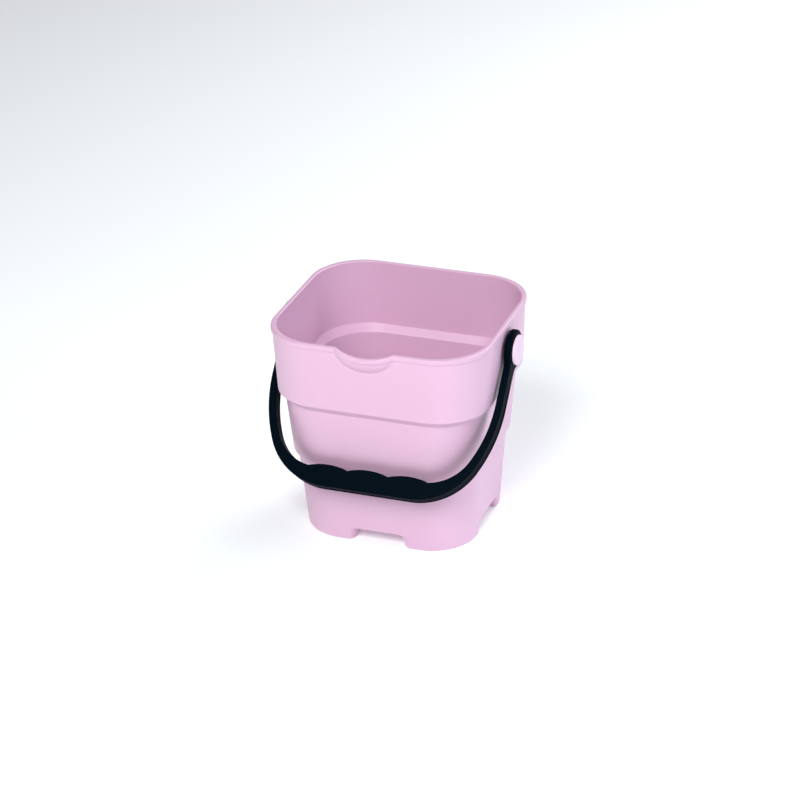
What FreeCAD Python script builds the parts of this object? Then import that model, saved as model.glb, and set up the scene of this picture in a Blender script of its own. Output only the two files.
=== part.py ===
import FreeCAD, Part
import os
from math import asin, cos, pi, radians, sin

import Sketcher
from FreeCAD import Placement, Rotation, Vector

# A child's sand bucket: a rounded-square moulded shell in three stepped tiers on castle feet, a
# U-shaped bail that swings on two side bosses, and the two snap-in buttons that keep it there.
#
# Frame: +Z up, origin on the ground at the centre of the four feet, the pouring spout towards -Y,
# the bail's pivot axis along X. Millimetres and degrees.

DIMS = [
    # outer form: each level is a height and how far it is inset from the rim, all round
    ("rim_width", 160.0),
    ("rim_depth", 146.4),
    ("rim_corner", 37.5),
    ("corner_shrink", 0.25),
    ("rim_top", 159.0),
    ("bead_low", 155.0),
    ("bead_proud", 0.8),
    ("band_low", 109.8),
    ("band_inset", 2.5),
    ("middle_top", 104.8),
    ("middle_top_inset", 6.6),
    ("middle_low", 61.1),
    ("middle_low_inset", 10.0),
    ("base_top", 57.8),
    ("base_top_inset", 12.7),
    ("ground_inset", 17.0),
    ("edge_bevel", 0.8),
    # walls and floor
    ("wall", 2.5),
    ("ledge_rise", 0.85),
    ("channel_high", 10.0),
    ("channel_top_half", 16.0),
    ("channel_slope", 3.0),
    ("foot_round", 4.0),
    # pouring spout
    ("spout_reach", 78.0),
    ("spout_deep", 20.0),
    ("spout_top_radius", 54.7),
    ("spout_low_radius", 47.9),
    ("lip_drop", 5.0),
    ("lip_radius", 55.4),
    # pivots
    ("pivot_high", 139.0),
    ("boss_radius", 5.5),
    ("boss_end", 85.7),
    ("stem_bore", 2.6),
    ("stem_bore_deep", 8.0),
    ("stem_radius", 2.58),
    ("stem_long", 7.5),
    ("button_radius", 10.7),
    ("button_edge", 1.6),
    ("button_dome", 2.4),
    # bail, drawn flat and pointing along -Y from its pivot axis
    ("bail_tilt", 48.5),
    ("eye_radius", 14.0),
    ("eye_bore", 5.55),
    ("arm_inside", 80.4),
    ("arm_thick", 5.0),
    ("arm_straight", 42.0),
    ("arm_sweep", 26.0),
    ("bail_reach", 116.8),
    ("corner_outside", 47.5),
    ("corner_inside", 34.5),
    ("grip_thick", 13.2),
    ("bail_deep", 12.4),
    ("lobe_pitch", 30.0),
    ("lobe_high", 2.5),
]

doc = FreeCAD.newDocument("sand_bucket")
dims = doc.addObject("Spreadsheet::Sheet", "dims")
for row, (alias, value) in enumerate(DIMS, start=1):
    dims.set(f"A{row}", alias)
    dims.set(f"B{row}", str(value))
    dims.setAlias(f"B{row}", alias)
doc.recompute()


def size(alias):
    """A driving dimension's value, for geometry that is drawn before its constraints bind it."""
    return float(dims.get(alias))


def new_body(name):
    body = doc.addObject("PartDesign::Body", name)
    body.Label = name
    return body


TURNS = {
    "XY_Plane": Rotation(),
    "XZ_Plane": Rotation(Vector(1, 0, 0), 90),
    "YZ_Plane": Rotation(Vector(1, 1, 1), 120),
}


def new_sketch(body, name, plane, offset=None):
    """A sketch on a body's origin plane, or standing free, raised by the expression offset."""
    if body is None:
        sketch = doc.addObject("Sketcher::SketchObject", name)
        sketch.Placement = Placement(Vector(0, 0, 0), TURNS[plane])
        if offset:
            sketch.setExpression("Placement.Base.z", offset)
        return sketch
    sketch = body.newObject("Sketcher::SketchObject", name)
    support = [f for f in body.Origin.OriginFeatures if f.Role == plane][0]
    sketch.AttachmentSupport = [(support, "")]
    sketch.MapMode = "FlatFace"
    if offset:
        sketch.setExpression("AttachmentOffset.Base.z", offset)
    return sketch


def new_feature(body, kind, name):
    """A PartDesign feature with plain booleans: no fuzzy tolerance and no merging of faces."""
    feature = body.newObject(f"PartDesign::{kind}", name)
    feature.Refine = False
    if hasattr(feature, "FuzzyTolerance"):
        feature.FuzzyTolerance = 0
    return feature


def bind(sketch, constraint, name, expression):
    """Add a named constraint whose value follows an expression over the sheet's cells."""
    index = sketch.addConstraint(constraint)
    sketch.renameConstraint(index, name)
    sketch.setExpression(f"Constraints.{name}", expression)


def circle(body, name, radius, offset=None):
    """A circle on the body's own X axis, seen along X, its radius bound to a cell."""
    sketch = new_sketch(body, name, "YZ_Plane", offset)
    centre = Vector(0, 0, 0)
    sketch.addGeometry(Part.Circle(centre, Vector(0, 0, 1), size(radius)), False)
    sketch.addConstraint(Sketcher.Constraint("Coincident", 0, 3, -1, 1))
    bind(sketch, Sketcher.Constraint("Radius", 0, size(radius)), "around", f"dims.{radius}")
    return sketch


def trapezoid(name, plane, low_half, high_half, low, high):
    """An upright trapezoid centred on the vertical axis; each size is an expression."""
    sketch = new_sketch(None, name, plane)
    corners = [Vector(*p, 0) for p in ((-20, 1), (20, 1), (15, 12), (-15, 12))]
    for start, end in zip(corners, corners[1:] + corners[:1]):
        sketch.addGeometry(Part.LineSegment(start, end), False)
    for k in range(4):
        sketch.addConstraint(Sketcher.Constraint("Coincident", k, 2, (k + 1) % 4, 1))
    sketch.addConstraint(Sketcher.Constraint("Symmetric", 0, 1, 0, 2, -2))
    sketch.addConstraint(Sketcher.Constraint("Symmetric", 2, 1, 2, 2, -2))
    bind(sketch, Sketcher.Constraint("DistanceX", 0, 1, 0, 2, 40), "foot_wide", f"2 * ({low_half})")
    bind(sketch, Sketcher.Constraint("DistanceX", 2, 2, 2, 1, 30), "head_wide", f"2 * ({high_half})")
    bind(sketch, Sketcher.Constraint("DistanceY", -1, 1, 0, 1, 1), "low", low)
    bind(sketch, Sketcher.Constraint("DistanceY", -1, 1, 2, 1, 12), "high", high)
    return sketch


def rounded_rectangle(name, height, inset):
    """A level of the bucket: the rim's rounded rectangle, inset all round, at a height."""
    sketch = new_sketch(None, name, "XY_Plane", height)
    half_x = 60.0
    half_y = 50.0
    r = 30.0
    x, y = half_x - r, half_y - r
    sides = [
        ((-x, -half_y), (x, -half_y)),
        ((half_x, -y), (half_x, y)),
        ((x, half_y), (-x, half_y)),
        ((-half_x, y), (-half_x, -y)),
    ]
    centres = [(x, -y), (x, y), (-x, y), (-x, -y)]
    for k in range(4):
        start, end = (Vector(*p, 0) for p in sides[k])
        sketch.addGeometry(Part.LineSegment(start, end), False)
        arc_circle = Part.Circle(Vector(*centres[k], 0), Vector(0, 0, 1), r)
        sketch.addGeometry(Part.ArcOfCircle(arc_circle, (k - 1) * pi / 2, k * pi / 2), False)
    for k in range(8):
        sketch.addConstraint(Sketcher.Constraint("Tangent", k, 2, (k + 1) % 8, 1))
    for k, direction in enumerate(["Horizontal", "Vertical", "Horizontal", "Vertical"]):
        sketch.addConstraint(Sketcher.Constraint(direction, 2 * k))
    for k in (3, 5, 7):
        sketch.addConstraint(Sketcher.Constraint("Equal", 1, k))
    sketch.addConstraint(Sketcher.Constraint("Symmetric", 0, 1, 4, 1, -1, 1))
    across = Sketcher.Constraint("DistanceX", 6, 1, 2, 1, 2 * half_x)
    bind(sketch, across, "across", f"dims.rim_width - 2 * ({inset})")
    along = Sketcher.Constraint("DistanceY", 0, 1, 4, 1, 2 * half_y)
    bind(sketch, along, "along", f"dims.rim_depth - 2 * ({inset})")
    corner = Sketcher.Constraint("Radius", 1, r)
    bind(sketch, corner, "corner", f"dims.rim_corner - dims.corner_shrink * ({inset})")
    return sketch


def part_object(kind, name, sizes=None, rotation=None):
    """A Part object whose properties follow expressions over the sheet's cells."""
    item = doc.addObject(f"Part::{kind}", name)
    item.Placement = Placement(Vector(0, 0, 0), rotation or Rotation())
    for key, expression in (sizes or {}).items():
        item.setExpression(key, expression)
    return item


def loft(name, levels):
    """A ruled solid through levels, each a name, a height and an inset."""
    item = part_object("Loft", name)
    item.Sections = [rounded_rectangle(f"{name}_{n}", z, inset) for n, z, inset in levels]
    item.Solid = True
    item.Ruled = True
    return item


def fuse(name, shapes):
    item = part_object("MultiFuse", name)
    item.Shapes = shapes
    return item


def cut(name, base, tool):
    item = part_object("Cut", name)
    item.Base = base
    item.Tool = tool
    return item


def extrude(body, name, kind, sketch, length=None, centred=False, backwards=False):
    """A pad or pocket of a sketch; without a length it goes through everything."""
    feature = new_feature(body, kind, name)
    feature.Profile = sketch
    feature.Reversed = backwards
    if centred:
        feature.SideType = "Symmetric"
    if length:
        feature.setExpression("Length", length)
    else:
        feature.Type = "ThroughAll"
    doc.recompute()
    return feature


def spout_cone(name, thinner):
    """The spout's cone, narrow end down with its wide end on the rim plane."""
    return part_object("Cone", name, {
        "Radius1": f"dims.spout_low_radius - {thinner}",
        "Radius2": f"dims.spout_top_radius - {thinner}",
        "Height": "dims.spout_deep",
        "Placement.Base.y": "dims.spout_top_radius - dims.spout_reach",
        "Placement.Base.z": "dims.rim_top - dims.spout_deep",
    })


def floor_bar(name, plane, extra, low, high, length):
    """A bar of trapezoid section across the bucket, centred, extra wide by an expression."""
    item = part_object("Extrusion", name, {"LengthFwd": length})
    item.Base = trapezoid(
        f"{name}_outline", plane,
        f"dims.channel_top_half + dims.channel_slope + {extra}",
        f"dims.channel_top_half + {extra}", low, high,
    )
    item.DirMode = "Normal"
    item.Symmetric = True
    item.Solid = True
    return item


def outer_form():
    """The three tiers, the rolled rim, the spout's bulge and the pivot bosses, all solid."""
    tiers = loft("tiers", [
        ("ground", None, "dims.ground_inset"),
        ("base_top", "dims.base_top", "dims.base_top_inset"),
        ("middle_low", "dims.middle_low", "dims.middle_low_inset"),
        ("middle_top", "dims.middle_top", "dims.middle_top_inset"),
        ("band_low", "dims.band_low", "dims.band_inset + dims.edge_bevel"),
        ("band_edge", "dims.band_low + dims.edge_bevel", "dims.band_inset"),
        ("bead_low", "dims.bead_low", "dims.bead_proud"),
        ("bead", "dims.bead_low + dims.bead_proud", "0"),
        ("rim_edge", "dims.rim_top - dims.edge_bevel", "0"),
        ("rim", "dims.rim_top", "dims.edge_bevel"),
    ])
    bosses = part_object("Cylinder", "bosses", {
        "Radius": "dims.boss_radius",
        "Height": "2 * dims.boss_end",
        "Placement.Base.x": "-dims.boss_end",
        "Placement.Base.z": "dims.pivot_high",
    }, Rotation(Vector(0, 1, 0), 90))
    return fuse("outside", [tiers, spout_cone("spout_outside", "0"), bosses])


def inner_form():
    """What is taken out: the cavity, one wall inside the tiers, the spout's inside and its lip."""
    rise = "dims.ledge_rise"
    cavity = loft("cavity", [
        ("floor", "dims.wall", "dims.ground_inset + dims.wall"),
        ("base_top", f"dims.base_top + {rise}", "dims.base_top_inset + dims.wall"),
        ("middle_low", f"dims.middle_low + {rise}", "dims.middle_low_inset + dims.wall"),
        ("middle_top", f"dims.middle_top + {rise}", "dims.middle_top_inset + dims.wall"),
        ("band_low", f"dims.band_low + {rise}", "dims.band_inset + dims.wall"),
        ("rim", "dims.rim_top + 1", "dims.bead_proud + dims.wall"),
    ])
    lip = part_object("Cylinder", "lip", {
        "Radius": "dims.lip_radius",
        "Height": "dims.rim_depth / 4",
        "Placement.Base.y": "-0.4 * dims.rim_depth",
        "Placement.Base.z": "dims.rim_top - dims.lip_drop + dims.lip_radius",
    }, Rotation(Vector(1, 0, 0), 90))
    return fuse("inside", [cavity, spout_cone("spout_inside", "dims.wall"), lip])


def foot_channels():
    """The crossed channels under the floor that part the four feet."""
    through = "dims.rim_width"
    return fuse("channels", [
        floor_bar("channel_front", "XZ_Plane", "0", "0", "dims.channel_high", through),
        floor_bar("channel_side", "YZ_Plane", "0", "0", "dims.channel_high", through),
    ])


def stem_bore(side, end):
    """A blind bore into a boss for a button's stem."""
    start = "dims.boss_end - dims.stem_bore_deep" if end > 0 else "-dims.boss_end - 1"
    return part_object("Cylinder", f"stem_bore_{side}", {
        "Radius": "dims.stem_bore",
        "Height": "dims.stem_bore_deep + 1",
        "Placement.Base.x": start,
        "Placement.Base.z": "dims.pivot_high",
    }, Rotation(Vector(0, 1, 0), 90))


def make_shell():
    walls = cut("walls", outer_form(), inner_form())
    low = "dims.wall / 2"
    high = "dims.channel_high + dims.wall"
    inset = "2 * dims.ground_inset + dims.wall / 2"
    ridged = fuse("ridged_walls", [
        walls,
        floor_bar("ridge_front", "XZ_Plane", "dims.wall", low, high, f"dims.rim_depth - {inset}"),
        floor_bar("ridge_side", "YZ_Plane", "dims.wall", low, high, f"dims.rim_width - {inset}"),
    ])
    on_feet = cut("on_feet", ridged, foot_channels())
    doc.recompute()

    def on_foot_corner(box):
        tall = abs(box.ZLength - size("channel_high")) < 0.1 and box.ZMin < 0.1
        return tall and max(box.XLength, box.YLength) < 5

    rounded = doc.addObject("Part::Fillet", "rounded_feet")
    rounded.Base = on_feet
    radius = size("foot_round")
    corners = [k + 1 for k, edge in enumerate(on_feet.Shape.Edges) if on_foot_corner(edge.BoundBox)]
    rounded.Edges = [(k, radius, radius) for k in corners]
    bores = fuse("stem_bores", [stem_bore("right", 1), stem_bore("left", -1)])
    shell = cut("bucket_shell", rounded, bores)
    shell.Label = "bucket_shell"
    return shell


def bail_outline(body):
    """Half of the bail's U, flat: a straight arm, a long sweep, a tight corner and half the grip."""
    sketch = new_sketch(body, "half_outline", "XY_Plane")
    straight = size("arm_straight")
    sweep = radians(size("arm_sweep"))
    up = Vector(0, 0, 1)
    profile = {}
    for key, x, reach, tight in (
        ("out", size("arm_inside") + size("arm_thick"), size("bail_reach"), size("corner_outside")),
        ("in", size("arm_inside"), size("bail_reach") - size("grip_thick"), size("corner_inside")),
    ):
        long = (reach - straight - tight) / sin(sweep) + tight
        centre = Vector(x - long, -straight, 0)
        corner = centre + Vector(cos(sweep), -sin(sweep), 0) * (long - tight)
        profile[key] = (
            x,
            Part.ArcOfCircle(Part.Circle(centre, up, long), -sweep, 0),
            Part.ArcOfCircle(Part.Circle(corner, up, tight), -pi / 2, -sweep),
            corner.x,
            reach,
        )
    x_out, long_out, tight_out, grip_out, reach_out = profile["out"]
    x_in, long_in, tight_in, grip_in, reach_in = profile["in"]
    for piece in (
        Part.LineSegment(Vector(x_out, 0, 0), Vector(x_out, -straight, 0)),
        long_out,
        tight_out,
        Part.LineSegment(Vector(grip_out, -reach_out, 0), Vector(0, -reach_out, 0)),
        Part.LineSegment(Vector(0, -reach_out, 0), Vector(0, -reach_in, 0)),
        Part.LineSegment(Vector(0, -reach_in, 0), Vector(grip_in, -reach_in, 0)),
        tight_in,
        long_in,
        Part.LineSegment(Vector(x_in, -straight, 0), Vector(x_in, 0, 0)),
        Part.LineSegment(Vector(x_in, 0, 0), Vector(x_out, 0, 0)),
    ):
        sketch.addGeometry(piece, False)
    smooth = [(0, 2, 1, 2), (1, 1, 2, 2), (2, 1, 3, 1), (5, 2, 6, 1), (6, 2, 7, 1), (7, 2, 8, 1)]
    sharp = [(3, 2, 4, 1), (4, 2, 5, 1), (8, 2, 9, 1), (9, 2, 0, 1)]
    for link in smooth:
        sketch.addConstraint(Sketcher.Constraint("Tangent", *link))
    for link in sharp:
        sketch.addConstraint(Sketcher.Constraint("Coincident", *link))
    for k in (0, 8):
        sketch.addConstraint(Sketcher.Constraint("Vertical", k))
    for k in (3, 5):
        sketch.addConstraint(Sketcher.Constraint("Horizontal", k))
    for link in ((9, 1, -1), (9, 2, -1), (4, 1, -2), (4, 2, -2)):
        sketch.addConstraint(Sketcher.Constraint("PointOnObject", *link))
    for name, kind, place, value in (
        ("inside", "DistanceX", (-1, 1, 9, 1), "arm_inside"),
        ("thick", "DistanceX", (9, 1, 9, 2), "arm_thick"),
        ("straight_out", "DistanceY", (0, 2, 0, 1), "arm_straight"),
        ("straight_in", "DistanceY", (8, 1, 8, 2), "arm_straight"),
        ("reach", "DistanceY", (4, 1, -1, 1), "bail_reach"),
        ("grip", "DistanceY", (4, 1, 4, 2), "grip_thick"),
        ("corner_out", "Radius", (2,), "corner_outside"),
        ("corner_in", "Radius", (6,), "corner_inside"),
    ):
        bind(sketch, Sketcher.Constraint(kind, *place, size(value)), name, f"dims.{value}")
    for name, arc in (("sweep_out", 1), ("sweep_in", 7)):
        angle = Sketcher.Constraint("Angle", arc, sweep)
        bind(sketch, angle, name, "dims.arm_sweep * 1 deg")
    return sketch


def lobe_outline(body):
    """The leftmost finger lobe, a low arc standing on the grip's inner edge."""
    sketch = new_sketch(body, "lobe_outline", "XY_Plane")
    half = size("lobe_pitch") / 2
    high = size("lobe_high")
    root = size("grip_thick") - size("bail_reach")
    middle = -2 * half
    radius = (half * half + high * high) / (2 * high)
    spread = asin(half / radius)
    foot = 1.0
    circle_of_lobe = Part.Circle(Vector(middle, root + high - radius, 0), Vector(0, 0, 1), radius)
    sketch.addGeometry(
        Part.ArcOfCircle(circle_of_lobe, pi / 2 - spread, pi / 2 + spread), False
    )
    left, right = middle - half, middle + half
    for start, end in (
        ((left, root), (left, root - foot)),
        ((left, root - foot), (right, root - foot)),
        ((right, root - foot), (right, root)),
    ):
        sketch.addGeometry(Part.LineSegment(Vector(*start, 0), Vector(*end, 0)), False)
    for link in ((0, 2, 1, 1), (1, 2, 2, 1), (2, 2, 3, 1), (3, 2, 0, 1)):
        sketch.addConstraint(Sketcher.Constraint("Coincident", *link))
    for k, direction in ((1, "Vertical"), (2, "Horizontal"), (3, "Vertical")):
        sketch.addConstraint(Sketcher.Constraint(direction, k))
    for name, kind, place, start, value in (
        ("pitch", "DistanceX", (0, 2, 0, 1), 2 * half, "dims.lobe_pitch"),
        ("to_middle", "DistanceX", (0, 1, -1, 1), half, "dims.lobe_pitch / 2"),
        ("root", "DistanceY", (0, 1, -1, 1), -root, "dims.bail_reach - dims.grip_thick"),
        ("foot", "DistanceY", (1, 2, 1, 1), foot, "1"),
        ("round", "Radius", (0,), radius,
         "(dims.lobe_pitch ^ 2 / 4 + dims.lobe_high ^ 2) / (2 * dims.lobe_high)"),
    ):
        bind(sketch, Sketcher.Constraint(kind, *place, start), name, value)
    return sketch


def make_bail():
    body = new_body("bail_handle")
    half = extrude(body, "half_bail", "Pad", bail_outline(body), "dims.bail_deep", centred=True)
    eye_circle = circle(body, "eye_circle", "eye_radius", "dims.arm_inside")
    eye = extrude(body, "eye", "Pad", eye_circle, "dims.arm_thick")
    mirror_plane = [f for f in body.Origin.OriginFeatures if f.Role == "YZ_Plane"][0]
    both = new_feature(body, "Mirrored", "both_halves")
    both.Originals = [half, eye]
    both.MirrorPlane = (mirror_plane, [""])
    body.Tip = both
    doc.recompute()

    lobe = extrude(body, "lobe", "Pad", lobe_outline(body), "dims.bail_deep", centred=True)
    along = [f for f in body.Origin.OriginFeatures if f.Role == "X_Axis"][0]
    lobes = new_feature(body, "LinearPattern", "lobes")
    lobes.Originals = [lobe]
    lobes.Direction = (along, [""])
    lobes.Occurrences = 3
    lobes.setExpression("Length", "2 * dims.lobe_pitch")
    body.Tip = lobes
    doc.recompute()

    bore = circle(body, "eye_bore_circle", "eye_bore")
    extrude(body, "eye_bores", "Pocket", bore, centred=True)
    body.Placement = Placement(Vector(0, 0, 0), Rotation(Vector(1, 0, 0), size("bail_tilt")))
    body.setExpression("Placement.Base.z", "dims.pivot_high")
    body.setExpression("Placement.Rotation.Angle", "dims.bail_tilt * 1 deg")
    return body


def make_button(side, turn):
    """A domed snap-in button, drawn with its underside on x = 0 and its stem towards -X."""
    body = new_body(f"pivot_button_{side}")
    sketch = new_sketch(body, f"button_profile_{side}", "XY_Plane")
    stem = size("stem_long")
    thin = size("stem_radius")
    wide = size("button_radius")
    edge = size("button_edge")
    dome = size("button_dome")
    radius = (wide * wide + dome * dome) / (2 * dome)
    crown = edge + dome
    for start, end in (
        ((-stem, 0), (-stem, thin)),
        ((-stem, thin), (0, thin)),
        ((0, thin), (0, wide)),
        ((0, wide), (edge, wide)),
        ((crown, 0), (-stem, 0)),
    ):
        sketch.addGeometry(Part.LineSegment(Vector(*start, 0), Vector(*end, 0)), False)
    ball = Part.Circle(Vector(crown - radius, 0, 0), Vector(0, 0, 1), radius)
    sketch.addGeometry(Part.ArcOfCircle(ball, 0, asin(wide / radius)), False)
    for link in ((0, 2, 1, 1), (1, 2, 2, 1), (2, 2, 3, 1), (3, 2, 5, 2), (5, 1, 4, 1), (4, 2, 0, 1)):
        sketch.addConstraint(Sketcher.Constraint("Coincident", *link))
    for k, direction in ((0, "Vertical"), (1, "Horizontal"), (2, "Vertical"), (3, "Horizontal")):
        sketch.addConstraint(Sketcher.Constraint(direction, k))
    for link in ((4, 1, -1), (4, 2, -1), (5, 3, -1), (2, 1, -2)):
        sketch.addConstraint(Sketcher.Constraint("PointOnObject", *link))
    for name, kind, place, value in (
        ("stem", "DistanceX", (0, 1, -1, 1), "stem_long"),
        ("thin", "DistanceY", (-1, 1, 1, 1), "stem_radius"),
        ("wide", "DistanceY", (-1, 1, 2, 2), "button_radius"),
        ("edge", "DistanceX", (2, 2, 3, 2), "button_edge"),
        ("dome", "DistanceX", (3, 2, 4, 1), "button_dome"),
    ):
        bind(sketch, Sketcher.Constraint(kind, *place, size(value)), name, f"dims.{value}")
    turned = new_feature(body, "Revolution", f"button_turned_{side}")
    turned.Profile = sketch
    turned.ReferenceAxis = (sketch, ["H_Axis"])
    doc.recompute()
    body.Placement = Placement(Vector(0, 0, 0), Rotation(Vector(0, 0, 1), turn))
    outwards = "" if side == "right" else "-"
    body.setExpression("Placement.Base.x", f"{outwards}dims.boss_end")
    body.setExpression("Placement.Base.z", "dims.pivot_high")
    return body


nodes = [make_shell(), make_bail(), make_button("right", 0), make_button("left", 180)]
doc.recompute()

for item in doc.Objects:
    if {"Invalid", "Error"} & set(item.State):
        raise RuntimeError(f"{item.Name} failed: {item.State}")
os.makedirs("parts", exist_ok=True)
for node in nodes:
    shape = node.Shape
    if shape.isNull() or not shape.isValid() or len(shape.Solids) != 1:
        raise RuntimeError(f"{node.Label} is not one valid solid")
    shape.exportStep(f"parts/{node.Label}.step")
    box = shape.BoundBox
    print(
        f"{node.Label}: {shape.Volume / 1000:.2f} cm3, x {box.XMin:.1f} to {box.XMax:.1f},",
        f"y {box.YMin:.1f} to {box.YMax:.1f}, z {box.ZMin:.1f} to {box.ZMax:.1f}",
    )
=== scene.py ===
from math import atan2, cos, hypot, pi, radians, sin, sqrt, tan

import bmesh
import bpy
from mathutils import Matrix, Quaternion, Vector
from mathutils.geometry import delaunay_2d_cdt


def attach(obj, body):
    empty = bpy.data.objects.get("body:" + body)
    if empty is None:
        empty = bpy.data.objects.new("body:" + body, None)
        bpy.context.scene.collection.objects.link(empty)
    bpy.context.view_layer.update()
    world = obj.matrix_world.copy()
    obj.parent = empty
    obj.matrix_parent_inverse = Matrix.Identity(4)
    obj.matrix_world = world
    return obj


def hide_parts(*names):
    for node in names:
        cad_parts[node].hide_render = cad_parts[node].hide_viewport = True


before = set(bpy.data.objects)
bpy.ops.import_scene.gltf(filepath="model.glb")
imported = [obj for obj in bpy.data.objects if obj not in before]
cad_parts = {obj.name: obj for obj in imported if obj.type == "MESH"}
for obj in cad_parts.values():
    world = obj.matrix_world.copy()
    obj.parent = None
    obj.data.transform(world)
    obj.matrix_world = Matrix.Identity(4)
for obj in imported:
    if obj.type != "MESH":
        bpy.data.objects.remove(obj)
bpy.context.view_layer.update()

# All shapes are worked out in millimetres in the part's own frame: +Z up, the spout towards -Y.
MM = 0.001


# ---------------------------------------------------------------- mesh helpers

WELD, SPECK = 0.002 * MM, 0.001 * MM
ONLY_INSIDE = 1     # the kind of result that leaves out triangles beyond the outline
ARC_STEP = radians(14)


class Skin:
    """Vertices and faces gathered strip by strip; points that meet are welded at the end."""

    def __init__(self):
        self.points = []
        self.faces = []

    def add(self, row):
        start = len(self.points)
        self.points.extend(row)
        return list(range(start, start + len(row)))

    def face(self, points):
        self.faces.append(self.add(points))

    def level_face(self, points):
        """A horizontal face of any outline, in triangles."""
        outline = [Vector(p[:2]) for p in points]
        around = list(range(len(outline)))
        corners, _, triangles, *_ = delaunay_2d_cdt(outline, [], [around], ONLY_INSIDE, 1e-4)
        ids = self.add([(x, y, points[0][2]) for x, y in corners])
        self.faces.extend([ids[k] for k in triangle] for triangle in triangles)

    def sheet(self, rows, closed=True):
        """Quads between neighbouring rows of equal length, each row closed on itself or open."""
        ids = [self.add(row) for row in rows]
        count = len(ids[0])
        last = count if closed else count - 1
        for low, high in zip(ids, ids[1:]):
            for k in range(last):
                n = (k + 1) % count
                self.faces.append([low[k], low[n], high[n], high[k]])

    def make(self, name, sharp=40):
        mesh = bpy.data.meshes.new(name)
        mesh.from_pydata([[c * MM for c in p] for p in self.points], [], self.faces)
        work = bmesh.new()
        work.from_mesh(mesh)
        bmesh.ops.remove_doubles(work, verts=work.verts, dist=WELD)
        bmesh.ops.dissolve_degenerate(work, edges=work.edges, dist=SPECK)
        bmesh.ops.recalc_face_normals(work, faces=work.faces)
        for face in work.faces:
            face.smooth = True
        work.to_mesh(mesh)
        work.free()
        mesh.set_sharp_from_angle(angle=radians(sharp))
        item = bpy.data.objects.new(name, mesh)
        bpy.context.collection.objects.link(item)
        even = item.modifiers.new("even_normals", "WEIGHTED_NORMAL")
        even.keep_sharp = True
        return item


def between(a, b, count):
    """count values after a, evenly spaced, the last one b."""
    return [a + (b - a) * k / count for k in range(1, count + 1)]


def resampled(line, step, above=None):
    """The line with its points no wider than step, or only where its first value is above a limit."""
    fine = [line[0]]
    for p, q in zip(line, line[1:]):
        count = 1
        if above is None or min(p[0], q[0]) > above:
            count = max(1, round(hypot(q[0] - p[0], q[1] - p[1]) / step))
        fine.extend(zip(between(p[0], q[0], count), between(p[1], q[1], count)))
    return fine


def rounded(corners, step):
    """A polyline of (x, y, radius) corners with its corners rounded, sampled no wider than step."""
    line = [corners[0][:2]]
    for before, here, after in zip(corners, corners[1:], corners[2:]):
        x, y, radius = here
        ax, ay = before[0] - x, before[1] - y
        bx, by = after[0] - x, after[1] - y
        la, lb = hypot(ax, ay), hypot(bx, by)
        ax, ay, bx, by = ax / la, ay / la, bx / lb, by / lb
        half = atan2(abs(ax * by - ay * bx), ax * bx + ay * by) / 2
        reach = radius / tan(half)
        mx, my = ax + bx, ay + by
        out = radius / sin(half) / hypot(mx, my)
        cx, cy = x + mx * out, y + my * out
        start = atan2(y + ay * reach - cy, x + ax * reach - cx)
        turn = atan2(y + by * reach - cy, x + bx * reach - cx) - start
        turn = (turn + pi) % (2 * pi) - pi
        pieces = max(3, round(abs(turn) / ARC_STEP))
        arc = [start] + between(start, start + turn, pieces)
        line.extend((cx + radius * cos(a), cy + radius * sin(a)) for a in arc)
    line.append(corners[-1][:2])
    return resampled(line, step)


def smooth_step(t):
    """0 up to t = 0, 1 from t = 1, and a smooth rise between them."""
    t = min(1.0, max(0.0, t))
    return t * t * (3 - 2 * t)


def positive(v, soft):
    """v where it is positive and 0 where it is negative, blended over a width of soft each way."""
    if v <= -soft:
        return 0.0
    return v if v >= soft else (v + soft) ** 2 / (4 * soft)


def lathe(skin, profile, side):
    """Turns (x, radius) points about the pivot axis, out along +X or -X."""
    turns = between(0.0, 2 * pi, 72)
    skin.sheet([[(side * x, r * cos(t), PIVOT + r * sin(t)) for t in turns] for x, r in profile])


# ---------------------------------------------------------------- the bucket's shell

HALF_X, HALF_Y, TOP = 80.0, 73.2, 159.0
CORNER, CORNER_SHRINK = 37.5, 0.25      # radius at the rim, and what it loses per mm of inset
PIVOT = 139.0
CEILING, FLOOR = 10.0, 12.5             # the raised floor's underside and upper side
WALL, INNER_RISE = 2.5, 0.85            # how far in and up the steps inside lie
RIM_WALL, BEAD = 3.3, 0.8
GROUND_INSET, INNER_FOOT = 17.0, 18.73

# both steps, from below: (height, inset from the rim, rounding outside, rounding inside)
STEPS = [(57.8, 12.7, 1.2, 1.2), (61.1, 10.0, 1.5, 1.4), (104.8, 6.6, 0.8, 1.2), (109.8, 2.5, 1.1, 1.4)]


def outer_inset(z):
    """The lowest tier's inset outside, on a straight line from the ground to the first step."""
    high, inset = STEPS[0][:2]
    return GROUND_INSET - (GROUND_INSET - inset) * z / high


# (height, inset, rounding) up the outside, over the rim and down the inside
OUTLINE = [(CEILING, outer_inset(CEILING), 0)]
OUTLINE += [(z, inset, outside) for z, inset, outside, _ in STEPS]
OUTLINE += [(154.9, BEAD, 0.4), (154.9 + BEAD, 0.0, 0.45), (TOP, 0.0, 1.0), (TOP, RIM_WALL, 0.7)]
OUTLINE += [(z + INNER_RISE, inset + WALL, inside) for z, inset, _, inside in reversed(STEPS)]
OUTLINE += [(FLOOR, INNER_FOOT, 0)]

SPOUT_HALF, SPOUT_DEEP, SPOUT_OUT, SPOUT_DROP = 20.6, 14.0, 5.0, 3.4
SPOUT_TOP = 157.5                       # the spout has its full width from here up
DIP_FROM, DIP_OVER = 139.0, 16.0        # the dip pulls the wall down from here, fully this much higher
DIP_SOFT, BULGE_SOFT, BULGE_POWER = 0.12, 0.07, 0.6
SPOUT_ROWS = 1.0                        # row spacing round the spout
FINE_SIDE, FINE_FRONT = 20.0, 27.0      # points are closer together this near to the two axes

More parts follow.
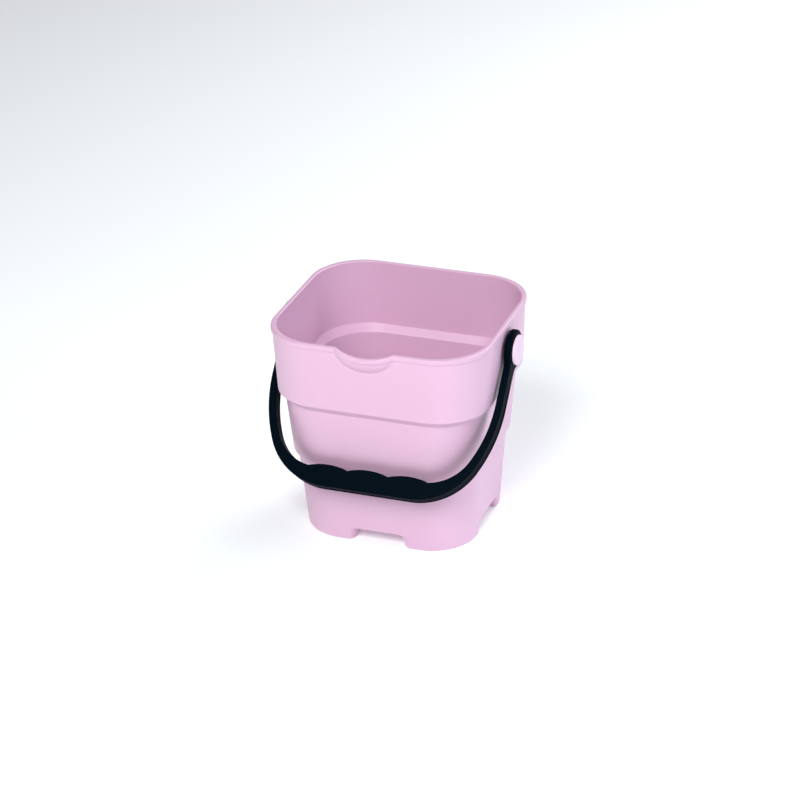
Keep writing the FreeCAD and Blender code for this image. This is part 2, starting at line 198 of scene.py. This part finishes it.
# the wall's lower edges are rounded over the gaps between the feet, and fade out at these distances
GAP_FADE, FRONT_GAP, SIDE_GAP, FLOOR_GAP = 4.0, 19.0, 17.0, 18.5
CEILING_EDGE, FLOOR_EDGE = 0.8, 1.5

# where the outer face of a foot starts, from the middle of the front and of the side; a well's side
FRONT_END, SIDE_END, WELL_END = 20.0, 18.0, 20.0

# a foot: half the gap to the next one and its loss per mm of height, and the roundings
FOOT_GAP, FOOT_SLANT, FOOT_FILLET, SOLE = 19.0, 0.3, 1.5, 1.2
FOOT_FRONT, FOOT_SIDE, INNER_CORNER = 5.5, 3.5, 2.5
SOLE_INSET, SOLE_CUT = 16.91, 18.64

# a well: half the gap, the roundings, and how these and the inset change per mm down
WELL_GAP, WELL_ROUND, WELL_FILLET = 17.5, 3.5, 1.0
GAP_GROWS, ROUND_SHRINKS, INSET_GROWS = 0.225, 0.26, 0.077
WELL_LOW, WELL_EDGE = 3.5, 0.8
LOW_INSET, LOW_CUT, LOW_SIDE = 19.42, 19.53, 1.16

# the pivot bosses, along the pivot axis from the bucket's middle
BOSS, BOSS_BORE, BOSS_FOOT, BORE_FOOT, BOSS_END = 5.5, 2.6, 77.4, 78.0, 85.7


def quarter(inset, side_start=None, front_start=None):
    """A quarter of a level in plan with outward normals, from the +X axis round to the +Y axis.

    With the two starts it covers only a foot's outer face. Each start is a pair of distances
    from the axis: where the face starts at the ceiling, and where it starts at this level.
    """
    a, b, r = HALF_X - inset, HALF_Y - inset, CORNER - CORNER_SHRINK * inset
    side_end, front_end = b - r, a - r
    ys = [0.0] + between(0.0, FINE_SIDE, 10) + between(FINE_SIDE, side_end, 5)
    xs = between(front_end, FINE_FRONT, 5) + between(FINE_FRONT, 0.0, 27)
    if side_start:
        full_y = (side_end - side_start[1]) / (side_end - side_start[0])
        full_x = (front_end - front_start[1]) / (front_end - front_start[0])
        ys = [side_end - (side_end - y) * full_y for y in ys if y > side_start[0] - 0.01]
        xs = [front_end - (front_end - x) * full_x for x in xs if x > front_start[0] - 0.01]
    points = [(a, y, 1.0, 0.0) for y in ys]
    for turn in between(0.0, pi / 2, 18):
        points.append((front_end + r * cos(turn), side_end + r * sin(turn), cos(turn), sin(turn)))
    return points + [(x, b, 0.0, 1.0) for x in xs]


def all_round(inset):
    """A whole level in plan, anticlockwise from the +X axis."""
    q = [(x, y) for x, y, _, _ in quarter(inset)]
    left = [(-x, y) for x, y in q[-2::-1]]
    low_left = [(-x, -y) for x, y in q[1:]]
    return q + left + low_left + [(x, -y) for x, y in q[-2:0:-1]]


def spout(x, y, z):
    """Pushes the front wall out into the pouring spout and lets the rim dip over it."""
    if y > 0:
        return (x, y, z)
    across = 1 - (x / SPOUT_HALF) ** 2
    z -= SPOUT_DROP * positive(across, DIP_SOFT) * smooth_step((z - DIP_FROM) / DIP_OVER)
    rise = min(0.0, z - SPOUT_TOP) / SPOUT_DEEP
    return (x, y - SPOUT_OUT * positive(across - rise * rise, BULGE_SOFT) ** BULGE_POWER, z)


def level(z, inset, edge_up=0.0, edge_in=0.0, side_gap=SIDE_GAP):
    """One row round the wall. The edge values only count over the gaps between the feet."""
    row = []
    for (x, y), (mx, my) in zip(all_round(inset), all_round(inset + edge_in)):
        gap = 0.0
        if abs(y) > HALF_Y - inset - 0.01:
            gap = smooth_step((FRONT_GAP - abs(x)) / GAP_FADE)
        elif abs(x) > HALF_X - inset - 0.01:
            gap = smooth_step((side_gap - abs(y)) / GAP_FADE)
        row.append(spout(x + (mx - x) * gap, y + (my - y) * gap, z + edge_up * gap))
    return row


def foot_path(inset, cut, round_front, round_side, side_end, shrink=0.0):
    """A foot's outline in the +X +Y quarter, moved in by shrink. Its outer face comes first."""
    a, b = HALF_X - inset, HALF_Y - inset
    path = quarter(inset, (side_end, cut + round_side), (FRONT_END, cut + round_front))
    for cx, cy, r, start, steps in (
        (cut + round_front, b - round_front, round_front, pi / 2, range(1, 9)),
        (cut + INNER_CORNER, cut + INNER_CORNER, INNER_CORNER, pi, range(9)),
        (a - round_side, cut + round_side, round_side, -pi / 2, range(8)),
    ):
        for k in steps:
            turn = start + pi / 2 * k / 8
            path.append((cx + r * cos(turn), cy + r * sin(turn), cos(turn), sin(turn)))
    return [(x - nx * shrink, y - ny * shrink) for x, y, nx, ny in path]


def fillet_at(z, top, radius):
    """How far a fillet under a level surface at top reaches sideways at height z."""
    rise = max(0.0, z - (top - radius))
    return radius - sqrt(radius ** 2 - rise ** 2)


def foot_outline(z):
    """A castle foot outside at a height: slanted sides, with a small fillet to the ceiling."""
    cut = FOOT_GAP - FOOT_SLANT * z - fillet_at(z, CEILING, FOOT_FILLET)
    return foot_path(outer_inset(z), cut, FOOT_FRONT, FOOT_SIDE, SIDE_END)


def well_outline(z):
    """The well inside a foot at a height, narrowing downwards from the bucket's floor."""
    down = FLOOR - z
    cut = WELL_GAP + GAP_GROWS * down - fillet_at(z, FLOOR, WELL_FILLET)
    side = WELL_ROUND - ROUND_SHRINKS * down
    return foot_path(INNER_FOOT + INSET_GROWS * down, cut, WELL_ROUND, side, WELL_END)


def nearest(row, point):
    """The index of the row's point that lies nearest to a point."""
    return min(range(len(row)), key=lambda k: (Vector(row[k]) - Vector(point)).length_squared)


def feet(skin, rows, wall_row, outer):
    """Four feet, or the wells in them, and the flat cross that joins them to the wall.

    rows are (path, height) from the cross down; outer is how many points are on the outer face.
    """
    inner = []
    for sx, sy, backwards in ((1, 1, True), (-1, 1, False), (-1, -1, True), (1, -1, False)):
        loops = [[(sx * x, sy * y, z) for x, y in path] for path, z in rows]
        skin.sheet(loops)
        skin.face(loops[-1])
        path = loops[0][outer - 1:] + loops[0][:1]
        inner.append(path[::-1] if backwards else path)
    cross = []
    for path, following in zip(inner, inner[1:] + inner[:1]):
        cross.extend(path)
        k = nearest(wall_row, path[-1]) + 1
        while k % len(wall_row) != nearest(wall_row, following[0]):
            cross.append(wall_row[k % len(wall_row)])
            k += 1
    skin.level_face(cross)


def edge_level(z, inset, radius, turn, side_gap=SIDE_GAP):
    """A row part of the way round the rounded edge that the wall has over the gaps."""
    return level(z, inset, radius * (1 - sin(turn)), radius * (1 - cos(turn)), side_gap)


def shell_skin():
    skin = Skin()
    wall = resampled(rounded(OUTLINE, step=3.0), SPOUT_ROWS, above=DIP_FROM - 1.0)
    turns = [0.0] + between(0.0, pi / 2, 4)
    outside = outer_inset(CEILING)
    rows = [edge_level(CEILING, outside, CEILING_EDGE, t) for t in turns[::-1]]
    rows.extend(level(z, inset) for z, inset in wall[1:-1])
    rows.extend(edge_level(FLOOR, INNER_FOOT, FLOOR_EDGE, t, FLOOR_GAP) for t in turns)
    skin.sheet(rows)

    front = (FRONT_END, FRONT_END)
    foot = [(foot_outline(z), z) for z in (CEILING, 9.9, 9.6, 9.2, 8.5, 6.0, 3.5, SOLE)]
    for t in turns[1:]:
        path = foot_path(SOLE_INSET, SOLE_CUT, FOOT_FRONT, FOOT_SIDE, SIDE_END, SOLE * (1 - cos(t)))
        foot.append((path, SOLE * (1 - sin(t))))
    feet(skin, foot, rows[0], len(quarter(outside, (SIDE_END, SIDE_END), front)))

    well = [(well_outline(z), z) for z in (FLOOR, 12.3, 11.9, 11.5, 9.0, 6.0, WELL_LOW)]
    for t in turns[1:]:
        path = foot_path(LOW_INSET, LOW_CUT, WELL_ROUND, LOW_SIDE, WELL_END, WELL_EDGE * (1 - cos(t)))
        well.append((path, WELL_LOW - sin(t)))
    feet(skin, well, rows[-1], len(quarter(INNER_FOOT, (WELL_END, WELL_END), front)))

    boss = rounded([
        (BOSS_FOOT, 7.4, 0),
        (79.2, 7.0, 0.6),
        (80.3, BOSS, 0.5),
        (BOSS_END, BOSS, 0.4),
        (BOSS_END, BOSS_BORE, 0.2),
        (BORE_FOOT, BOSS_BORE, 0),
    ], step=2.0)
    for side in (1, -1):
        lathe(skin, [(BOSS_FOOT, 0.0)] + boss + [(BORE_FOOT, 0.0)], side)
    return skin.make("bucket_shell_skin")


# ---------------------------------------------------------------- the bail

TILT = radians(48.5)
ARM_IN, ARM_OUT, ARM_STRAIGHT, SWEEP = 80.4, 85.4, 42.0, radians(26.0)
GRIP_IN, GRIP_OUT, HALF_DEEP, EDGE = 103.6, 116.8, 6.2, 1.2
CORNER_IN, CORNER_OUT = 34.5, 47.5
EYE, BORE, EYE_FILLET, EYE_END = 14.0, 5.55, 8.0, 24.0
LOBE_PITCH, LOBE_HIGH, LOBES_END = 30.0, 2.5, 45.0
LOBE_RADIUS = ((LOBE_PITCH / 2) ** 2 + LOBE_HIGH ** 2) / (2 * LOBE_HIGH)
RECESS, RECESS_FADE, BACK = 0.5, 5.0, 3.0     # BACK: a line of points on the inner face
EDGE_TURNS = [0.0] + between(0.0, pi / 2, 4)

# across half the outer face: (distance from its middle line, share of the recess's depth)
FACE = [(4.7, 0.0), (4.5, 0.1), (4.25, 0.5), (4.0, 0.9), (3.8, 1.0), (2.0, 1.0), (0.0, 1.0)]


def tilted(x, v, t):
    """From the bail's own plane, reach v and thickness t, to where it rests on the bucket."""
    return (x, -v * cos(TILT) - t * sin(TILT), PIVOT - v * sin(TILT) + t * cos(TILT))


def edge_profile(thick):
    """(distance from the inner face, distance in from the side) from the inner to the outer face."""
    inner = [(EDGE - EDGE * sin(t), EDGE - EDGE * cos(t)) for t in EDGE_TURNS[::-1]]
    flat = [(EDGE + (thick - 2 * EDGE) * k / 3, 0.0) for k in (1, 2)]
    return inner + flat + [(thick - EDGE + EDGE * sin(t), EDGE - EDGE * cos(t)) for t in EDGE_TURNS]


def bail_section(inner, outer, recess):
    """One closed loop across the bail, with a shallow recess along its outer face."""
    ex, ev = outer[0] - inner[0], outer[1] - inner[1]
    thick = hypot(ex, ev)
    ex, ev = ex / thick, ev / thick
    edge = [(a, HALF_DEEP - d) for a, d in edge_profile(thick)]
    face = [(thick - recess * f, t) for t, f in FACE]
    face += [(a, -t) for a, t in face[-2::-1]]
    loop = edge + face + [(a, -t) for a, t in edge[::-1]] + [(0.0, t) for t in (-BACK, 0.0, BACK)]
    return [tilted(inner[0] + ex * a, inner[1] + ev * a, t) for a, t in loop]


def bail_edge(arm, reach, tight):
    """Half of one edge of the U in its own plane: the arm, the long sweep and the tight corner."""
    long = (reach - ARM_STRAIGHT - tight) / sin(SWEEP) + tight
    line = [(arm, v) for v in [EYE_END] + between(EYE_END, ARM_STRAIGHT, 8)]
    cx = arm - long
    line += [(cx + long * cos(a), ARM_STRAIGHT + long * sin(a)) for a in between(0.0, SWEEP, 14)]
    kx = cx + (long - tight) * cos(SWEEP)
    kv = ARM_STRAIGHT + (long - tight) * sin(SWEEP)
    return line + [(kx + tight * cos(a), kv + tight * sin(a)) for a in between(SWEEP, pi / 2, 26)]


def lobe(x):
    """How far the finger lobes stand in from the grip's edge."""
    if abs(x) >= LOBES_END:
        return 0.0
    off = (x + LOBE_PITCH / 2) % LOBE_PITCH - LOBE_PITCH / 2
    return LOBE_HIGH - (LOBE_RADIUS - sqrt(LOBE_RADIUS ** 2 - off * off))


def eye_rim():
    """Half of an eye's outline as (reach, thickness, normal): a fillet from the arm, then the disc."""
    rim = [(EYE_END, HALF_DEEP, 0.0, 1.0)]
    high = HALF_DEEP + EYE_FILLET
    far = sqrt((EYE + EYE_FILLET) ** 2 - high * high)
    meet = atan2(high, far)
    for a in [-pi / 2] + between(-pi / 2, meet - pi, 8):
        rim.append((far + EYE_FILLET * cos(a), high + EYE_FILLET * sin(a), -cos(a), -sin(a)))
    for a in between(meet, pi, 40):
        rim.append((EYE * cos(a), EYE * sin(a), cos(a), sin(a)))
    return rim


def add_eye(skin, side, up):
    """The upper or lower half of one eye: its edge, its two faces and its bore."""
    rim, profile = eye_rim(), edge_profile(ARM_OUT - ARM_IN)
    skin.sheet([
        [tilted(side * (ARM_IN + a), v - nv * d, up * (t - nt * d)) for a, d in profile]
        for v, t, nv, nt in rim
    ], closed=False)
    inset = [(v - nv * EDGE, t - nt * EDGE) for v, t, nv, nt in rim]
    bore = [(BORE * cos(a), BORE * sin(a)) for a in [pi] + between(pi, 0.0, 24)]
    face_in = [(EYE_END, t) for t, _ in FACE[::-1]]
    back_in = [(EYE_END, 0.0), (EYE_END, BACK)]
    skin.face([tilted(side * ARM_OUT, v, up * t) for v, t in inset + bore + face_in])
    skin.face([tilted(side * ARM_IN, v, up * t) for v, t in inset + bore + back_in])
    ends = [[tilted(side * x, v, up * t) for v, t in bore] for x in (ARM_IN, ARM_OUT)]
    skin.sheet(ends, closed=False)


def bail_skin():
    skin = Skin()
    inner = [(x, min(v, GRIP_IN - lobe(x))) for x, v in bail_edge(ARM_IN, GRIP_IN, CORNER_IN)]
    outer = bail_edge(ARM_OUT, GRIP_OUT, CORNER_OUT)
    start_in, start_out = inner[-1][0], outer[-1][0]
    for x in between(start_in, LOBE_PITCH / 2, 20) + between(LOBE_PITCH / 2, 0.0, 12):
        inner.append((x, GRIP_IN - lobe(x)))
        outer.append((x * start_out / start_in, GRIP_OUT))
    sections = []
    for side in (1, -1):
        half = []
        for p, q in zip(inner, outer):
            recess = RECESS * smooth_step((p[1] - EYE_END) / RECESS_FADE)
            half.append(bail_section((side * p[0], p[1]), (side * q[0], q[1]), recess))
        sections = half if side > 0 else sections + half[-2::-1]
    skin.sheet(sections)
    for side in (1, -1):
        for up in (1, -1):
            add_eye(skin, side, up)
    return skin.make("bail_skin", sharp=32)


# ---------------------------------------------------------------- the pivot buttons

STEM, STEM_FOOT = 2.58, 78.2
BUTTON, BUTTON_EDGE, BUTTON_TOP = 10.7, 87.3, 89.7


def button_skin(name, side):
    """A stem in the boss, a flat cap over the eye and a shallow dome."""
    skin = Skin()
    dome_high = BUTTON_TOP - BUTTON_EDGE
    ball = (BUTTON ** 2 + dome_high ** 2) / (2 * dome_high)
    radii = (9.8, 8.5, 7.0, 5.5, 4.0, 2.5, 1.0, 0.0)
    dome = [(BUTTON_TOP - ball + sqrt(ball * ball - r * r), r) for r in radii]
    body = rounded([
        (STEM_FOOT, 1.9, 0),
        (78.9, STEM, 0.3),
        (BOSS_END, STEM, 0.2),
        (BOSS_END, BUTTON, 0.4),
        (BUTTON_EDGE, BUTTON, 0.6),
        dome[0] + (0,),
    ], step=1.5)
    lathe(skin, [(STEM_FOOT, 0.0)] + body + dome[1:], side)
    return skin.make(name)


# ---------------------------------------------------------------- materials

def plastic(name, light, dark, rough, grain, index, soft=0.0):
    """Moulded polypropylene: slight flow shading, a fine grain and an uneven satin gloss.

    grain is the bump's height in metres, index the refractive index, soft the light let in.
    """
    item = bpy.data.materials.new(name)
    item.use_nodes = True
    nodes, links = item.node_tree.nodes, item.node_tree.links
    shader = nodes["Principled BSDF"]
    place = nodes.new("ShaderNodeTexCoord")

    def noise(scale, detail):
        node = nodes.new("ShaderNodeTexNoise")
        node.inputs["Scale"].default_value = scale
        node.inputs["Detail"].default_value = detail
        links.new(place.outputs["Object"], node.inputs["Vector"])
        return node.outputs["Fac"]

    flow = nodes.new("ShaderNodeMix")
    flow.data_type = "RGBA"
    flow.inputs["A"].default_value = (*dark, 1)
    flow.inputs["B"].default_value = (*light, 1)
    links.new(noise(14.0, 3.0), flow.inputs["Factor"])
    links.new(flow.outputs["Result"], shader.inputs["Base Color"])

    gloss = nodes.new("ShaderNodeMapRange")
    gloss.inputs["To Min"].default_value = rough - 0.05
    gloss.inputs["To Max"].default_value = rough + 0.05
    links.new(noise(60.0, 4.0), gloss.inputs["Value"])
    links.new(gloss.outputs["Result"], shader.inputs["Roughness"])

    bump = nodes.new("ShaderNodeBump")
    bump.inputs["Strength"].default_value = 0.35
    bump.inputs["Distance"].default_value = grain
    links.new(noise(1400.0, 2.0), bump.inputs["Height"])
    links.new(bump.outputs["Normal"], shader.inputs["Normal"])

    shader.inputs["IOR"].default_value = index
    if soft:
        shader.inputs["Subsurface Weight"].default_value = soft
        shader.inputs["Subsurface Radius"].default_value = (1.0, 0.45, 0.6)
        shader.inputs["Subsurface Scale"].default_value = 0.004
    return item


pink = plastic(
    "shell_plastic", light=(0.71, 0.445, 0.61), dark=(0.69, 0.425, 0.59),
    rough=0.42, grain=0.00003, index=1.60, soft=0.15,
)
black = plastic(
    "bail_plastic", light=(0.0010, 0.0042, 0.0085), dark=(0.0007, 0.0033, 0.0070),
    rough=0.42, grain=0.00004, index=1.055,
)
button_pink = plastic(
    "button_plastic", light=(0.82, 0.60, 0.75), dark=(0.80, 0.58, 0.73),
    rough=0.38, grain=0.00003, index=1.55, soft=0.15,
)

parts = [
    (shell_skin(), "bucket", "bucket_shell", "shell_plastic", pink),
    (bail_skin(), "bail", "bail_handle", "bail_plastic", black),
    (button_skin("button_skin_right", 1), "bucket", "pivot_button_right", "button_plastic", button_pink),
    (button_skin("button_skin_left", -1), "bucket", "pivot_button_left", "button_plastic", button_pink),
]
for item, body, node, slot, material in parts:
    item.data.materials.append(material)
    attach(item, body)
    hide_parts(node)


# ---------------------------------------------------------------- floor, light and camera

def floor(half):
    """A plain pale floor at height 0, reaching half (in metres) each way."""
    mesh = bpy.data.meshes.new("floor")
    corners = [(-half, -half, 0), (half, -half, 0), (half, half, 0), (-half, half, 0)]
    mesh.from_pydata(corners, [], [(0, 1, 2, 3)])
    item = bpy.data.objects.new("floor", mesh)
    bpy.context.collection.objects.link(item)
    material = bpy.data.materials.new("floor_white")
    material.use_nodes = True
    shader = material.node_tree.nodes["Principled BSDF"]
    shader.inputs["Base Color"].default_value = (0.93, 0.935, 0.945, 1)
    shader.inputs["Roughness"].default_value = 0.9
    shader.inputs["Specular IOR Level"].default_value = 0.1
    shader.inputs["Emission Color"].default_value = (0.97, 0.98, 1.0, 1)
    shader.inputs["Emission Strength"].default_value = 0.19
    mesh.materials.append(material)


def area_light(name, place, aim, across, power, colour):
    """A round soft light: across in metres, power in watts."""
    lamp = bpy.data.lights.new(name, "AREA")
    lamp.shape = "DISK"
    lamp.size = across
    lamp.energy = power
    lamp.color = colour
    item = bpy.data.objects.new(name, lamp)
    item.location = place
    item.rotation_mode = "QUATERNION"
    item.rotation_quaternion = (Vector(aim) - Vector(place)).to_track_quat("-Z", "Y")
    bpy.context.collection.objects.link(item)


middle = (0, 0, 0.08)
floor(half=4)
area_light("key", (0.0, -1.1, 1.08), middle, across=0.7, power=19.7, colour=(0.94, 1.0, 0.985))
area_light("side", (1.35, 0.0, 0.7), middle, across=0.8, power=8.0, colour=(0.80, 0.92, 1.0))
area_light("rear", (0.5, 1.2, 1.3), (0.1, 0.1, 0), across=0.9, power=17.0, colour=(0.97, 0.98, 1.0))

scene = bpy.context.scene
scene.view_settings.view_transform = "Standard"
world = bpy.data.worlds.new("studio")
world.use_nodes = True
sky = world.node_tree.nodes["Background"]
sky.inputs["Color"].default_value = (0.97, 0.98, 1.0, 1)
sky.inputs["Strength"].default_value = 0.11
scene.world = world

AZIMUTH, ELEVATION, ROLL = radians(20.48), radians(27.19), radians(-1.55)
AIM, DISTANCE = Vector((0, 0, 0.07956)), 2.054
back = Vector((sin(AZIMUTH) * cos(ELEVATION), -cos(AZIMUTH) * cos(ELEVATION), sin(ELEVATION)))
lens = bpy.data.cameras.new("camera")
lens.sensor_width = 36.0
lens.lens = 129.9
lens.shift_x = -0.003
lens.shift_y = 0.0117
lens.clip_start = 0.05
lens.clip_end = 20.0
camera = bpy.data.objects.new("camera", lens)
camera.rotation_mode = "QUATERNION"
camera.location = AIM + back * DISTANCE
camera.rotation_quaternion = (-back).to_track_quat("-Z", "Y") @ Quaternion((0, 0, 1), ROLL)
bpy.context.collection.objects.link(camera)
scene.camera = camera
